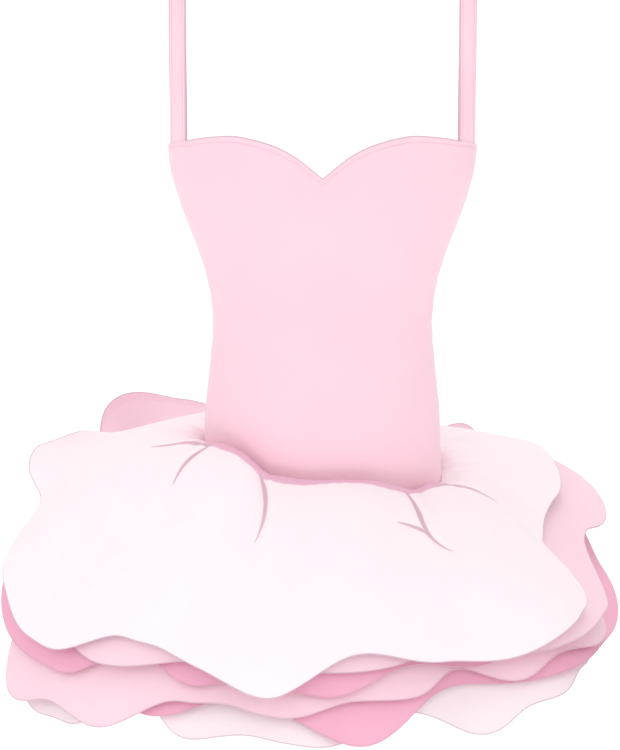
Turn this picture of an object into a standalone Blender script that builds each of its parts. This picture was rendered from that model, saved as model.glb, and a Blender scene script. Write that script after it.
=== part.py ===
"""A ballet tutu: a long sweetheart bodice on two shoulder straps, and a short skirt of six ruffled layers
sewn one below another to a hip band. It keeps the hollow form that it has when worn.

Metres, +Z up. The origin is the centre of the waist and the front faces -Y. An azimuth is counted in degrees
round the body, from the front towards +X."""

import math
from collections import namedtuple

import bpy
from mathutils import Vector

# Cloth and seams
WALL = 0.0016  # bodice, straps and hip band
NET_WALL = 0.0014  # one skirt layer
SEAM_GAP = 0.0003  # between two sewn pieces

# The body of the garment, section by section. Squareness 2 is an ellipse, and more is boxier.
Section = namedtuple("Section", "height half_width front back squareness")
TORSO = (
    Section(-0.260, 0.1262, 0.104, 0.112, 2.20),
    Section(-0.175, 0.1254, 0.102, 0.110, 2.20),
    Section(-0.130, 0.1242, 0.100, 0.106, 2.20),
    Section(-0.095, 0.1230, 0.097, 0.101, 2.20),
    Section(-0.050, 0.1187, 0.091, 0.093, 2.20),
    Section(0.000, 0.1150, 0.086, 0.086, 2.20),
    Section(0.035, 0.1172, 0.090, 0.086, 2.20),
    Section(0.065, 0.1228, 0.098, 0.088, 2.25),
    Section(0.100, 0.1328, 0.107, 0.090, 2.35),
    Section(0.135, 0.1446, 0.113, 0.091, 2.50),
    Section(0.165, 0.1538, 0.112, 0.091, 2.60),
    Section(0.195, 0.1600, 0.106, 0.090, 2.75),
    Section(0.260, 0.1612, 0.086, 0.084, 3.00),
)
SIDE_SEAM = 94.0  # azimuth
BODICE_ROWS = 9
COLUMN_TURN = 6.0  # between the columns of a bodice panel

# Top edge of the bodice
Neck = namedtuple("Neck", "across height")
NECKLINE = (  # front, from the point of the sweetheart to the strap
    Neck(0.000, 0.2090),
    Neck(0.013, 0.2195),
    Neck(0.029, 0.2310),
    Neck(0.050, 0.2410),
    Neck(0.076, 0.2475),
    Neck(0.097, 0.2490),
    Neck(0.127, 0.2425),
    Neck(0.143, 0.2350),
)
Edge = namedtuple("Edge", "azimuth height")
ARMHOLE_AND_BACK = (  # from the front strap round under the arm to the centre back
    Edge(68, 0.2350),
    Edge(80, 0.2180),
    Edge(90, 0.2010),
    Edge(100, 0.1900),
    Edge(114, 0.1810),
    Edge(130, 0.1700),
    Edge(146, 0.1500),
    Edge(163, 0.1290),
    Edge(180, 0.1210),
)

# Straps
STRAP_INNER, STRAP_OUTER = 0.1430, 0.1588  # distances from the middle of the body
SHOULDER_HEIGHT = 0.400
SHOULDER_BACK = 0.004  # of the highest point behind the origin
ARCH_FRONT, ARCH_BACK = 0.046, 0.046  # how far the strap's arch reaches each way
TWIST_LENGTH = 0.16  # share of a strap, from its end, in which it turns from the bodice's lie to its own
ARCH_POWER = 0.8  # below 1, the arch is squarer than an ellipse
STRAP_STEPS, STRAP_COLUMNS = 36, 3

# Skirt: how the stack of layers lies, direction by direction
Seam = namedtuple("Seam", "azimuth height")
TOP_SEAM = (  # of the top layer, at the hip band
    Seam(-75, -0.1310),
    Seam(-47, -0.1345),
    Seam(-26, -0.1545),
    Seam(-6, -0.1575),
    Seam(20, -0.1635),
    Seam(52, -0.1735),
    Seam(100, -0.1760),
    Seam(145, -0.1710),
    Seam(-170, -0.1680),
    Seam(-110, -0.1460),
)
SEAM_PITCH = 0.0110  # from one layer's seam down to the next
BODICE_ABOVE = 0.0040  # the bodice's lower edge above the top seam
BAND_BOTTOM = -0.2420  # lower edge of the hip band
BAND_ROWS = 3
PUFF_NEAR, PUFF_FAR = 0.012, 0.150  # distances in which the puff over the seam rises, and dies away
PUFF_SHARE = 0.75  # each layer's puff as a share of that of the one above
FALL_AT = 0.200  # the distance from the hip band at which fall is stated
FALL_POWER = 1.6
Lie = namedtuple("Lie", "azimuth puff fall")
LIE = (
    Lie(-172, 0.020, 0.075),
    Lie(-150, 0.021, 0.084),
    Lie(-134, 0.018, 0.108),
    Lie(-113, 0.012, 0.076),
    Lie(-103, 0.024, 0.068),
    Lie(-88, 0.036, 0.106),
    Lie(-60, 0.052, 0.153),
    Lie(-44, 0.047, 0.157),
    Lie(-24, 0.047, 0.145),
    Lie(-8, 0.049, 0.154),
    Lie(10, 0.057, 0.167),
    Lie(30, 0.050, 0.165),
    Lie(55, 0.034, 0.098),
    Lie(80, 0.021, 0.127),
    Lie(100, 0.019, 0.103),
    Lie(127, 0.013, 0.064),
    Lie(153, 0.013, 0.117),
)
FALL_MORE = 0.012  # share by which each layer falls more than the one above
RISE_AT = 0.017  # distance from the seam of the top of a rise
Rise = namedtuple("Rise", "azimuth height")
RISES = (  # how much higher than its common form the puff stands close to the seam
    Rise(-105, 0.0000),
    Rise(-78, -0.0120),
    Rise(-64, -0.0045),
    Rise(-49, 0.0072),
    Rise(-36, 0.0088),
    Rise(-24, 0.0048),
    Rise(-8, 0.0042),
    Rise(3, 0.0024),
    Rise(24, 0.0058),
    Rise(44, 0.0012),
    Rise(54, 0.0058),
    Rise(72, -0.0006),
    Rise(86, -0.0085),
    Rise(110, 0.0000),
)

# Skirt: each layer's edge, with a row for every crest and hollow of its ruffle. Reach is counted from the
# middle of the body, and lift is how far the edge stands above the common lie.
Ruffle = namedtuple("Ruffle", "azimuth reach lift")
EDGE_WHITE_TOP = (
    Ruffle(-176, 0.240, 0.000),
    Ruffle(-150, 0.250, 0.000),
    Ruffle(-132, 0.258, 0.000),
    Ruffle(-121, 0.270, 0.009),
    Ruffle(-115, 0.286, 0.021),
    Ruffle(-108, 0.317, 0.026),
    Ruffle(-101, 0.318, 0.013),
    Ruffle(-92, 0.296, -0.001),
    Ruffle(-79, 0.344, 0.000),
    Ruffle(-70, 0.345, 0.000),
    Ruffle(-60, 0.3365, 0.000),
    Ruffle(-43, 0.297, 0.000),
    Ruffle(-36, 0.291, 0.000),
    Ruffle(-13, 0.301, 0.000),
    Ruffle(9, 0.262, 0.000),
    Ruffle(28, 0.277, 0.000),
    Ruffle(54, 0.320, 0.000),
    Ruffle(65, 0.309, 0.000),
    Ruffle(69.5, 0.286, 0.002),
    Ruffle(73, 0.240, -0.008),
    Ruffle(83, 0.235, 0.000),
    Ruffle(126, 0.286, 0.000),
    Ruffle(146, 0.237, 0.000),
    Ruffle(165, 0.255, 0.000),
)
EDGE_LIGHT_UPPER = (
    Ruffle(-178, 0.262, 0.000),
    Ruffle(-162, 0.288, 0.013),
    Ruffle(-152, 0.322, 0.047),
    Ruffle(-137, 0.322, 0.084),
    Ruffle(-119, 0.280, 0.000),
    Ruffle(-100, 0.288, 0.000),
    Ruffle(-53, 0.3175, 0.000),
    Ruffle(-24, 0.280, 0.000),
    Ruffle(12, 0.264, 0.000),
    Ruffle(30, 0.260, 0.000),
    Ruffle(56, 0.323, 0.000),
    Ruffle(76, 0.310, 0.000),
    Ruffle(92, 0.277, 0.000),
    Ruffle(117, 0.333, 0.000),
    Ruffle(137, 0.266, 0.000),
    Ruffle(148, 0.280, 0.041),
    Ruffle(164, 0.266, 0.000),
)
EDGE_MID_UPPER = (
    Ruffle(180, 0.250, 0.000),
    Ruffle(-148, 0.285, 0.000),
    Ruffle(-108, 0.285, 0.000),
    Ruffle(-75, 0.3475, 0.000),
    Ruffle(-58, 0.331, 0.000),
    Ruffle(-41, 0.284, 0.000),
    Ruffle(-29, 0.291, 0.000),
    Ruffle(-16, 0.276, 0.000),
    Ruffle(-2, 0.276, 0.000),
    Ruffle(20, 0.256, 0.000),
    Ruffle(62, 0.303, 0.000),
    Ruffle(91, 0.262, 0.000),
    Ruffle(122, 0.290, 0.000),
    Ruffle(150, 0.270, 0.000),
)
EDGE_LIGHT_LOWER = (
    Ruffle(-170, 0.250, 0.000),
    Ruffle(-140, 0.280, 0.000),
    Ruffle(-102, 0.285, 0.000),
    Ruffle(-78, 0.325, 0.000),
    Ruffle(-67, 0.361, 0.000),
    Ruffle(-56, 0.340, 0.000),
    Ruffle(-47, 0.338, 0.000),
    Ruffle(-30, 0.2945, 0.000),
    Ruffle(-18, 0.287, 0.000),
    Ruffle(-8, 0.286, 0.000),
    Ruffle(8, 0.266, 0.000),
    Ruffle(22, 0.270, 0.000),
    Ruffle(32, 0.257, 0.000),
    Ruffle(48, 0.305, 0.000),
    Ruffle(66, 0.3165, 0.000),
    Ruffle(72, 0.3125, 0.000),
    Ruffle(95, 0.270, 0.000),
    Ruffle(128, 0.290, 0.000),
    Ruffle(158, 0.265, 0.000),
)
EDGE_MID_LOWER = (
    Ruffle(180, 0.270, 0.000),
    Ruffle(-132, 0.285, 0.000),
    Ruffle(-90, 0.290, 0.000),
    Ruffle(-40, 0.307, 0.000),
    Ruffle(-16, 0.272, 0.000),
    Ruffle(8, 0.288, 0.000),
    Ruffle(31, 0.260, 0.000),
    Ruffle(57, 0.318, 0.000),
    Ruffle(76, 0.308, 0.000),
    Ruffle(90, 0.314, 0.000),
    Ruffle(103, 0.301, 0.000),
    Ruffle(124, 0.305, 0.000),
    Ruffle(152, 0.265, 0.000),
)
EDGE_WHITE_UNDER = (
    Ruffle(-165, 0.270, 0.000),
    Ruffle(-125, 0.265, 0.000),
    Ruffle(-64, 0.343, 0.000),
    Ruffle(-53, 0.3335, 0.000),
    Ruffle(-41, 0.287, 0.000),
    Ruffle(-29, 0.3035, 0.000),
    Ruffle(-13, 0.286, 0.000),
    Ruffle(-4, 0.287, 0.000),
    Ruffle(18, 0.262, 0.000),
    Ruffle(43, 0.301, 0.000),
    Ruffle(53, 0.323, 0.000),
    Ruffle(60, 0.312, 0.000),
    Ruffle(82, 0.285, 0.000),
    Ruffle(112, 0.280, 0.000),
    Ruffle(140, 0.260, 0.000),
)
LIFT_POWER = 8.0  # a lobe lifts or droops mostly near its edge

# Creases in the top layer, where it is caught at its seam. They run outward from the seam.
Crease = namedtuple("Crease", "start_azimuth end_azimuth start end depth")
CREASES = (
    Crease(-57, -78, 0.016, 0.062, 0.005),
    Crease(-58, -54, 0.014, 0.074, 0.006),
    Crease(-31, -21, 0.012, 0.088, 0.008),
    Crease(39, 41, 0.012, 0.095, 0.008),
    Crease(60, 76, 0.014, 0.068, 0.005),
    Crease(91, 98, 0.010, 0.064, 0.005),
    Crease(113, 121, 0.010, 0.078, 0.006),
    Crease(151, 160, 0.010, 0.088, 0.007),
    Crease(-175, -167, 0.010, 0.076, 0.006),
    Crease(-149, -145, 0.012, 0.088, 0.007),
    Crease(-119, -122, 0.012, 0.064, 0.006),
)
CREASE_HALF_WIDTH = 0.0085

# Layers from the top down
Layer = namedtuple("Layer", "name edge creases material columns rows")
UPPER_ROWS = (0.0, 0.045, 0.12, 0.23, 0.40, 0.60, 0.80, 1.0)  # shares of a layer's width
UNDER_ROWS = (0.0, 0.12, 0.45, 0.78, 1.0)
LAYERS = (
    Layer("net_1_white", EDGE_WHITE_TOP, CREASES, "white_net", 120, UPPER_ROWS),
    Layer("net_2_light", EDGE_LIGHT_UPPER, (), "light_pink_net", 72, UNDER_ROWS),
    Layer("net_3_mid", EDGE_MID_UPPER, (), "mid_pink_net", 72, UNDER_ROWS),
    Layer("net_4_light", EDGE_LIGHT_LOWER, (), "light_pink_net", 72, UNDER_ROWS),
    Layer("net_5_mid", EDGE_MID_LOWER, (), "mid_pink_net", 72, UNDER_ROWS),
    Layer("net_6_white", EDGE_WHITE_UNDER, (), "white_net", 72, UNDER_ROWS),
)

# Materials: colour, roughness
FINISHES = {
    "pale_pink_satin": ((0.991, 0.701, 0.799), 0.45),
    "white_net": ((1.0, 0.905, 0.939), 0.85),
    "light_pink_net": ((0.991, 0.701, 0.799), 0.85),
    "mid_pink_net": ((0.947, 0.474, 0.638), 0.85),
}

TURN_STEP, AWAY_STEP = 0.05, 0.001  # steps for measuring how a surface slopes


def curve_value(rows, key, field, position):
    """A smooth curve through a table's rows, at a position along its key column."""
    keys = [getattr(row, key) for row in rows]
    values = [getattr(row, field) for row in rows]
    position = min(max(position, keys[0]), keys[-1])
    last = len(rows) - 1
    index = 0
    while index < last - 1 and position > keys[index + 1]:
        index += 1
    slopes = []
    for end in (index, index + 1):
        before, after = max(end - 1, 0), min(end + 1, last)
        slopes.append((values[after] - values[before]) / (keys[after] - keys[before]))
    span = keys[index + 1] - keys[index]
    t = (position - keys[index]) / span
    start_weight = 2 * t ** 3 - 3 * t ** 2 + 1
    start_slope = t ** 3 - 2 * t ** 2 + t
    end_slope = t ** 3 - t ** 2
    value = start_weight * values[index] + (1 - start_weight) * values[index + 1]
    return value + span * (start_slope * slopes[0] + end_slope * slopes[1])


def round_value(rows, field, azimuth):
    """A value eased from row to row all round the body, level at each row."""
    ordered = sorted(rows, key=lambda row: row.azimuth % 360)
    turn = azimuth % 360
    after = next((row for row in ordered if row.azimuth % 360 > turn), ordered[0])
    before = ordered[ordered.index(after) - 1]
    gap = (after.azimuth - before.azimuth) % 360
    share = ((turn - before.azimuth) % 360) / gap
    ease = (1 - math.cos(math.pi * share)) / 2
    start, end = getattr(before, field), getattr(after, field)
    return start + (end - start) * ease


def torso_radius(azimuth, height):
    """Distance from the body's axis to the cloth's outer side."""
    across = abs(math.sin(math.radians(azimuth)))
    along = math.cos(math.radians(azimuth))
    half_width = curve_value(TORSO, "height", "half_width", height)
    depth = curve_value(TORSO, "height", "front" if along > 0 else "back", height)
    power = curve_value(TORSO, "height", "squareness", height)
    return ((across / half_width) ** power + (abs(along) / depth) ** power) ** (-1 / power)


def polar(azimuth, radius, height):
    angle = math.radians(azimuth)
    return Vector((radius * math.sin(angle), -radius * math.cos(angle), height))


def torso_point(azimuth, height):
    return polar(azimuth, torso_radius(azimuth, height), height)


def top_edge(azimuth):
    """Height of the bodice's top edge."""
    turn = abs((azimuth + 180) % 360 - 180)
    height = 0.225
    for _ in range(12):
        across = abs(torso_point(turn, height).x)
        if turn > 90 or across > NECKLINE[-1].across:
            return curve_value(ARMHOLE_AND_BACK, "azimuth", "height", turn)
        height = curve_value(NECKLINE, "across", "height", across)
    return height


def base_azimuth(across, behind):
    """Azimuth at which the top edge lies this far from the middle, in the front or the back."""
    low, high = (180.0, 90.0) if behind else (0.0, 90.0)
    for _ in range(40):
        middle = (low + high) / 2
        if torso_point(middle, top_edge(middle)).x < across:
            low = middle
        else:
            high = middle
    return (low + high) / 2


def seam_height(azimuth, layer):
    return round_value(TOP_SEAM, "height", azimuth) - SEAM_PITCH * layer


def seam_radius(azimuth, layer):
    """Inner edge of a layer. Its upper side rises from there and faces the hip band, just clear of it."""
    return torso_radius(azimuth, seam_height(azimuth, layer)) + SEAM_GAP


def bodice_bottom(azimuth):
    return seam_height(azimuth, 0) + BODICE_ABOVE


def crease_depth(creases, azimuth, distance, radius):
    """How deep the troughs are at a place on a layer."""
    total = 0.0
    for crease in creases:
        along = (distance - crease.start) / (crease.end - crease.start)
        if 0 < along < 1:
            line = crease.start_azimuth + (crease.end_azimuth - crease.start_azimuth) * along
            off = math.radians((azimuth - line + 180) % 360 - 180) * radius / CREASE_HALF_WIDTH
            if abs(off) < 1:
                fade = math.sin(math.pi * along ** 0.6)
                total += crease.depth * fade * math.cos(math.pi * off / 2) ** 2
    return total


def layer_point(layer, azimuth, share):
    """A place on a layer's upper side: share 0 is its seam and share 1 its edge."""
    style = LAYERS[layer]
    inner = seam_radius(azimuth, layer)
    width = round_value(style.edge, "reach", azimuth) - inner
    distance = share * width
    puff = round_value(LIE, "puff", azimuth) * (math.exp(-distance / PUFF_FAR) - math.exp(-distance / PUFF_NEAR))
    rise = round_value(RISES, "height", azimuth) * distance / RISE_AT * math.exp(1 - distance / RISE_AT)
    puff = (puff + rise) * PUFF_SHARE ** layer
    fall = round_value(LIE, "fall", azimuth) * (1 + FALL_MORE * layer)
    fall *= (max(distance, 0.0) / FALL_AT) ** FALL_POWER
    lift = round_value(style.edge, "lift", azimuth) * max(share, 0.0) ** LIFT_POWER
    trough = crease_depth(style.creases, azimuth, distance, inner + distance)
    height = seam_height(azimuth, layer) + puff - fall + lift - trough
    return polar(azimuth, inner + distance, height)


def inward(surface, u, v, wall):
    """The point a wall's thickness inside a surface, whose u runs round the body and v away from its top."""
    round_body = surface(u + TURN_STEP, v) - surface(u - TURN_STEP, v)
    away = surface(u, v + AWAY_STEP) - surface(u, v - AWAY_STEP)
    return surface(u, v) - away.cross(round_body).normalized() * wall


def wall_solid(name, outer, inner, material, closed):
    """A closed solid between two grids of points, rows of columns. A closed one goes all round the body."""
    rows, columns = len(outer), len(outer[0])
    count = rows * columns
    steps = columns if closed else columns - 1
    faces = []
    for i in range(rows - 1):
        for j in range(steps):
            a, b = i * columns + j, i * columns + (j + 1) % columns
            faces.append((a, a + columns, b + columns, b))
            faces.append((count + a, count + b, count + b + columns, count + a + columns))
    for i, turn in ((0, 1), (rows - 1, -1)):
        for j in range(steps):
            a, b = i * columns + j, i * columns + (j + 1) % columns
            faces.append((a, b, count + b, count + a)[::turn])
    if not closed:
        for j, turn in ((0, -1), (columns - 1, 1)):
            for i in range(rows - 1):
                a, b = i * columns + j, (i + 1) * columns + j
                faces.append((a, b, count + b, count + a)[::turn])
    points = [point for grid in (outer, inner) for row in grid for point in row]
    mesh = bpy.data.meshes.new(name)
    mesh.from_pydata(points, [], faces)
    mesh.shade_smooth()
    mesh.set_sharp_from_angle(angle=math.radians(50))
    mesh.materials.append(material)
    body = bpy.data.objects.new(name, mesh)
    bpy.context.collection.objects.link(body)


def strap_columns():
    """Distances from the middle of the body of the lines of points along a strap."""
    width = STRAP_OUTER - STRAP_INNER
    return [STRAP_INNER + width * j / STRAP_COLUMNS for j in range(STRAP_COLUMNS + 1)]


def strap_foot(across, behind):
    """Where a line of a strap stands, just above the bodice's top edge."""
    azimuth = base_azimuth(across, behind)
    foot = torso_point(azimuth, top_edge(azimuth))
    return Vector((across, foot.y, foot.z + SEAM_GAP))


def strap_point(across, share):
    """A place on the left strap's outer side: share 0 is its front foot and share 1 its back foot."""
    behind = share > 0.5
    side = 1 if behind else -1
    foot = strap_foot(across, behind)
    reach = ARCH_BACK if behind else ARCH_FRONT
    from_foot = 1 - share if behind else share
    along = abs(math.cos(math.pi * share)) ** ARCH_POWER
    twist = (1 + math.cos(math.pi * min(from_foot / TWIST_LENGTH, 1.0))) / 2
    arch = SHOULDER_BACK + side * reach * along
    y = arch + (foot.y - SHOULDER_BACK - side * reach) * twist
    z = foot.z + (SHOULDER_HEIGHT - foot.z) * abs(math.sin(math.pi * share)) ** ARCH_POWER
    return Vector((across, y, z))


def strap_grid(side):
    """Points on a strap's outer side: a row for each step over the shoulder, from the front to the back."""
    rows = []
    for i in range(STRAP_STEPS + 1):
        row = [strap_point(across, i / STRAP_STEPS) for across in strap_columns()]
        row = [Vector((side * point.x, point.y, point.z)) for point in row]
        rows.append(row[::-1] if side > 0 else row)
    return rows


def panel_azimuths(start, end, behind):
    """Columns of one half of a bodice panel, with one at each line of the strap's foot."""
    feet = [base_azimuth(across, behind) for across in strap_columns()]
    count = round(abs(end - start) / COLUMN_TURN)
    even = [start + (end - start) * i / count for i in range(count + 1)]
    clear = [turn for turn in even if min(abs(turn - foot) for foot in feet) > COLUMN_TURN / 2]
    return sorted(clear + feet)


def bodice_panel(name, azimuths, material):
    """The front or the back of the bodice, between the side seams."""

    def surface(azimuth, share):
        top = top_edge(azimuth)
        return torso_point(azimuth, top + (bodice_bottom(azimuth) - top) * share)

    def inside(azimuth, share):
        height = surface(azimuth, share).z
        return inward(lambda turn, down: torso_point(turn, -down), azimuth, -height, WALL)

    shares = [i / BODICE_ROWS for i in range(BODICE_ROWS + 1)]
    outer = [[surface(azimuth, share) for azimuth in azimuths] for share in shares]
    inner = [[inside(azimuth, share) for azimuth in azimuths] for share in shares]
    wall_solid(name, outer, inner, material, closed=False)


def hip_band(turns, material):
    """The tube that carries on from the bodice under the skirt, open below. The layers are sewn on it."""

    def surface(azimuth, share):
        top = bodice_bottom(azimuth) - SEAM_GAP
        return torso_point(azimuth, top + (BAND_BOTTOM - top) * share)

    def inside(azimuth, share):
        height = surface(azimuth, share).z
        return inward(lambda turn, down: torso_point(turn, -down), azimuth, -height, WALL)

    shares = [i / BAND_ROWS for i in range(BAND_ROWS + 1)]
    outer = [[surface(turn, share) for turn in turns] for share in shares]
    inner = [[inside(turn, share) for turn in turns] for share in shares]
    wall_solid("hip_band", outer, inner, material, closed=True)


def skirt_layer(layer, material):
    """One ring of net, gathered at its seam and ruffled at its edge."""

    style = LAYERS[layer]
    turns = [360 * i / style.columns for i in range(style.columns)]

    def surface(azimuth, share):
        return layer_point(layer, azimuth, share)

    outer = [[surface(turn, share) for turn in turns] for share in style.rows]
    inner = [[inward(surface, turn, share, NET_WALL) for turn in turns] for share in style.rows]
    wall_solid(style.name, outer, inner, material, closed=True)


def strap(name, side, material):
    """A strap over one shoulder: side 1 is the wearer's left."""

    outer = strap_grid(side)
    rows, columns = len(outer), len(outer[0])
    inner = []
    for i in range(rows):
        row = []
        for j in range(columns):
            along = outer[min(i + 1, rows - 1)][j] - outer[max(i - 1, 0)][j]
            across = outer[i][min(j + 1, columns - 1)] - outer[i][max(j - 1, 0)]
            row.append(outer[i][j] - along.cross(across).normalized() * WALL)
        inner.append(row)
    wall_solid(name, outer, inner, material, closed=False)


def finish(name):
    """A cloth material."""
    colour, roughness = FINISHES[name]
    material = bpy.data.materials.new(name)
    material.use_nodes = True
    shader = material.node_tree.nodes["Principled BSDF"]
    shader.inputs["Base Color"].default_value = (*colour, 1.0)
    shader.inputs["Roughness"].default_value = roughness
    shader.inputs["Metallic"].default_value = 0.0
    return material


def build():
    """The whole tutu."""
    for old in list(bpy.data.objects):
        bpy.data.objects.remove(old)
    finishes = {name: finish(name) for name in FINISHES}
    satin = finishes["pale_pink_satin"]
    half = math.degrees(SEAM_GAP / 2 / torso_radius(SIDE_SEAM, 0.0))
    front = panel_azimuths(0.0, SIDE_SEAM - half, behind=False)
    front = [-turn for turn in front[:0:-1]] + front
    back = panel_azimuths(SIDE_SEAM + half, 180.0, behind=True)
    back = back + [360 - turn for turn in back[-2::-1]]
    bodice_panel("bodice_front", front, satin)
    bodice_panel("bodice_back", back, satin)
    strap("strap_left", 1, satin)
    strap("strap_right", -1, satin)
    hip_band([-SIDE_SEAM] + front[1:-1] + [SIDE_SEAM] + back[1:-1], satin)
    for layer, style in enumerate(LAYERS):
        skirt_layer(layer, finishes[style.material])


build()
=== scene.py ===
import math
from collections import namedtuple

import bpy
import numpy as np
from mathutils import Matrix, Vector


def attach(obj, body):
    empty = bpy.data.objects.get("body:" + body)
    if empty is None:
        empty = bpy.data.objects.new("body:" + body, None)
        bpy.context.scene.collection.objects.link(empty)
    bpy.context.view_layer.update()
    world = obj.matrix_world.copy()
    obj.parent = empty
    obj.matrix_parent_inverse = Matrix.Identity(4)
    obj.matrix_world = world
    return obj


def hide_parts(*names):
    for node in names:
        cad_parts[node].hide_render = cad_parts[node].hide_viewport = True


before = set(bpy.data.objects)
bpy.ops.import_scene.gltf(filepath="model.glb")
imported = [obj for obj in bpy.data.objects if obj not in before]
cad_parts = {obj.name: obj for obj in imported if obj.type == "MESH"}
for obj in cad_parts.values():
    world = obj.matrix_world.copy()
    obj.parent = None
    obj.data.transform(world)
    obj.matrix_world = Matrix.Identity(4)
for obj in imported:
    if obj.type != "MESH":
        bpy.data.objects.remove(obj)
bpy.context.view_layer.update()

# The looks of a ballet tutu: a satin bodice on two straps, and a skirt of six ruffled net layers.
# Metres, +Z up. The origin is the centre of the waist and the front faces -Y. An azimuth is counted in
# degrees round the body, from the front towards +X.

# ---------------------------------------------------------------- sizes, the same as the solids'

SATIN_WALL, NET_WALL = 0.0014, 0.0010  # a little thinner than the solids'
SEAM_GAP = 0.0003

Section = namedtuple("Section", "height half_width front back squareness")
TORSO = (
    Section(-0.260, 0.1262, 0.104, 0.112, 2.20),
    Section(-0.175, 0.1254, 0.102, 0.110, 2.20),
    Section(-0.130, 0.1242, 0.100, 0.106, 2.20),
    Section(-0.095, 0.1230, 0.097, 0.101, 2.20),
    Section(-0.050, 0.1187, 0.091, 0.093, 2.20),
    Section(0.000, 0.1150, 0.086, 0.086, 2.20),
    Section(0.035, 0.1172, 0.090, 0.086, 2.20),
    Section(0.065, 0.1228, 0.098, 0.088, 2.25),
    Section(0.100, 0.1328, 0.107, 0.090, 2.35),
    Section(0.135, 0.1446, 0.113, 0.091, 2.50),
    Section(0.165, 0.1538, 0.112, 0.091, 2.60),
    Section(0.195, 0.1600, 0.106, 0.090, 2.75),
    Section(0.260, 0.1612, 0.086, 0.084, 3.00),
)
SIDE_SEAM = 94.0  # its azimuth

Neck = namedtuple("Neck", "across height")
NECKLINE = (  # front, from the point of the sweetheart to the strap
    Neck(0.000, 0.2090),
    Neck(0.013, 0.2195),
    Neck(0.029, 0.2310),
    Neck(0.050, 0.2410),
    Neck(0.076, 0.2475),
    Neck(0.097, 0.2490),
    Neck(0.127, 0.2425),
    Neck(0.143, 0.2350),
)
Edge = namedtuple("Edge", "azimuth height")
ARMHOLE_AND_BACK = (  # from the front strap round under the arm to the centre back
    Edge(68, 0.2350),
    Edge(80, 0.2180),
    Edge(90, 0.2010),
    Edge(100, 0.1900),
    Edge(114, 0.1810),
    Edge(130, 0.1700),
    Edge(146, 0.1500),
    Edge(163, 0.1290),
    Edge(180, 0.1210),
)

STRAP_INNER, STRAP_OUTER = 0.1430, 0.1588  # its two edges, from the middle
SHOULDER_HEIGHT = 0.400
SHOULDER_BACK = 0.004
ARCH_FRONT, ARCH_BACK = 0.046, 0.046
TWIST_LENGTH = 0.16  # share of the strap in which it leaves the bodice's slope
ARCH_POWER = 0.8

Seam = namedtuple("Seam", "azimuth height")
TOP_SEAM = (  # of the top layer, at the hip band
    Seam(-75, -0.1310),
    Seam(-47, -0.1345),
    Seam(-26, -0.1545),
    Seam(-6, -0.1575),
    Seam(20, -0.1635),
    Seam(52, -0.1735),
    Seam(100, -0.1760),
    Seam(145, -0.1710),
    Seam(-170, -0.1680),
    Seam(-110, -0.1460),
)
SEAM_PITCH = 0.0110  # from one layer's seam down to the next
BODICE_ABOVE = 0.0040  # the bodice ends this far above the top seam
BAND_BOTTOM = -0.2420
PUFF_NEAR, PUFF_FAR = 0.012, 0.150  # lengths in which the puff rises and dies away
PUFF_SHARE = 0.75  # of the puff of the layer above
FALL_AT = 0.200  # distance from the seam at which a layer has fallen by its row's fall
FALL_POWER = 1.6
Lie = namedtuple("Lie", "azimuth puff fall")
LIE = (
    Lie(-172, 0.020, 0.075),
    Lie(-150, 0.021, 0.084),
    Lie(-134, 0.018, 0.108),
    Lie(-113, 0.012, 0.076),
    Lie(-103, 0.024, 0.068),
    Lie(-88, 0.036, 0.106),
    Lie(-60, 0.052, 0.153),
    Lie(-44, 0.047, 0.157),
    Lie(-24, 0.047, 0.145),
    Lie(-8, 0.049, 0.154),
    Lie(10, 0.057, 0.167),
    Lie(30, 0.050, 0.165),
    Lie(55, 0.034, 0.098),
    Lie(80, 0.021, 0.127),
    Lie(100, 0.019, 0.103),
    Lie(127, 0.013, 0.064),
    Lie(153, 0.013, 0.117),
)

Ruffle = namedtuple("Ruffle", "azimuth reach lift")
EDGE_WHITE_TOP = (
    Ruffle(-176, 0.240, 0.000),
    Ruffle(-150, 0.250, 0.000),
    Ruffle(-132, 0.258, 0.000),
    Ruffle(-121, 0.270, 0.009),
    Ruffle(-115, 0.286, 0.021),
    Ruffle(-108, 0.317, 0.026),
    Ruffle(-101, 0.318, 0.013),
    Ruffle(-92, 0.296, -0.001),
    Ruffle(-79, 0.344, 0.000),
    Ruffle(-70, 0.345, 0.000),
    Ruffle(-60, 0.3365, 0.000),
    Ruffle(-43, 0.297, 0.000),
    Ruffle(-36, 0.291, 0.000),
    Ruffle(-13, 0.301, 0.000),
    Ruffle(9, 0.262, 0.000),
    Ruffle(28, 0.277, 0.000),
    Ruffle(54, 0.320, 0.000),
    Ruffle(65, 0.309, 0.000),
    Ruffle(69.5, 0.286, 0.002),
    Ruffle(73, 0.240, -0.008),
    Ruffle(83, 0.235, 0.000),
    Ruffle(126, 0.286, 0.000),
    Ruffle(146, 0.237, 0.000),
    Ruffle(165, 0.255, 0.000),
)
EDGE_LIGHT_UPPER = (
    Ruffle(-178, 0.262, 0.000),
    Ruffle(-162, 0.288, 0.013),
    Ruffle(-152, 0.322, 0.047),
    Ruffle(-137, 0.322, 0.084),
    Ruffle(-119, 0.280, 0.000),
    Ruffle(-100, 0.288, 0.000),
    Ruffle(-53, 0.3175, 0.000),
    Ruffle(-24, 0.280, 0.000),
    Ruffle(12, 0.264, 0.000),
    Ruffle(30, 0.260, 0.000),
    Ruffle(56, 0.323, 0.000),
    Ruffle(76, 0.310, 0.000),
    Ruffle(92, 0.277, 0.000),
    Ruffle(117, 0.333, 0.000),
    Ruffle(137, 0.266, 0.000),
    Ruffle(148, 0.280, 0.041),
    Ruffle(164, 0.266, 0.000),
)
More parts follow.
